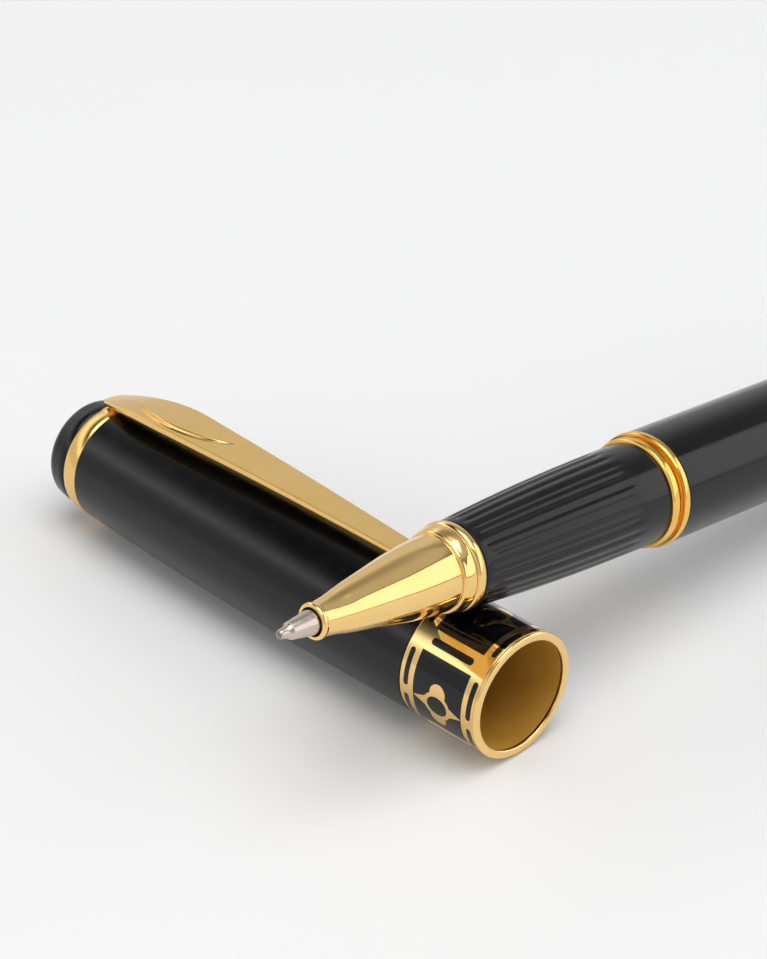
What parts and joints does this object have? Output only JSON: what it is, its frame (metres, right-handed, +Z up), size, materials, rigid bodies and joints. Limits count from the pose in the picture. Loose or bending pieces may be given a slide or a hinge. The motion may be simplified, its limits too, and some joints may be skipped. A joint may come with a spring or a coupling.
{
  "type": "rollerball pen",
  "caption": "Gold and black rollerball pen with its ornamented cap off, the pen lying across the cap.",
  "frame": {"origin": "centre of the object's box, on the plane that the cap and the end ring rest on", "axes": "+X along the pen from its nose to its end, +Y along the cap from its mouth to its end button, +Z up"},
  "size_m": [0.1266, 0.066, 0.0237],
  "materials": {
    "gold_plate": "polished gold plate",
    "black_lacquer": "high-gloss black lacquer",
    "brass_inner": "turned brass",
    "nickel_tip": "nickel silver",
    "plain_steel": "plain steel",
    "liner_plastic": "moulded black",
    "refill_plastic": "moulded dark grey",
    "ink_wick": "bonded fibre",
    "carbide_ball": "polished"
  },
  "bodies": {
    "barrel": {"barrel_tube": "black_lacquer", "barrel_ring": "gold_plate", "barrel_insert": "brass_inner", "tail_bush": "brass_inner", "tail_screw": "plain_steel", "tail_ring": "gold_plate", "tail_finial": "black_lacquer", "refill_spring": "plain_steel"},
    "cap": {"cap_tube": "black_lacquer", "cap_band": "gold_plate", "cap_lip_ring": "gold_plate", "cap_liner": "liner_plastic", "cap_bush": "brass_inner", "cap_screw": "plain_steel", "clip_ring": "gold_plate", "cap_finial": "black_lacquer"},
    "clip": {"clip": "gold_plate"},
    "thread_ring": {"section_ring": "gold_plate"},
    "section": {"section_core": "brass_inner", "grip_sleeve": "black_lacquer", "nose_cone": "gold_plate", "nose_ring": "gold_plate"},
    "refill": {"refill_tip": "nickel_tip", "refill_shoulder": "refill_plastic", "refill_tube": "plain_steel", "refill_plug": "refill_plastic", "refill_wick": "ink_wick"},
    "ball": {"writing_ball": "carbide_ball"}
  },
  "joints": [
    {"name": "cap_slide", "type": "slide", "parent": "barrel", "child": "cap", "axis": [0, 1, 0], "range_m": [0, 0.06]},
    {"name": "clip_flex", "type": "hinge", "parent": "cap", "child": "clip", "pos_m": [-0.03755, 0.0284, 0.01384], "axis": [-0.9848, 0, 0.1736], "range_deg": [0, 4], "stiffness_Nm_per_rad": 0.05, "springref_deg": -8.59},
    {"name": "thread_travel", "type": "slide", "parent": "barrel", "child": "thread_ring", "axis": [-0.9912, 0, 0.1326], "range_m": [0, 0.00375]},
    {"name": "section_turn", "type": "hinge", "parent": "thread_ring", "child": "section", "pos_m": [-0.03355, -0.02468, 0.01814], "axis": [-0.9912, 0, 0.1326], "range_deg": [0, 1800]},
    {"name": "refill_push", "type": "slide", "parent": "section", "child": "refill", "axis": [0.9912, 0, -0.1326], "range_m": [0, 0.0015], "stiffness_N_per_m": 200, "springref_m": -0.004, "deforming": ["refill_spring"]},
    {"name": "ball_roll", "type": "hinge", "parent": "refill", "child": "ball", "pos_m": [-0.06294, -0.02468, 0.02207], "axis": [0, 1, 0], "continuous": true}
  ],
  "couplings": [
    {"joint": "section_turn", "follows": "thread_travel", "rad_per_m": 8377.6}
  ]
}
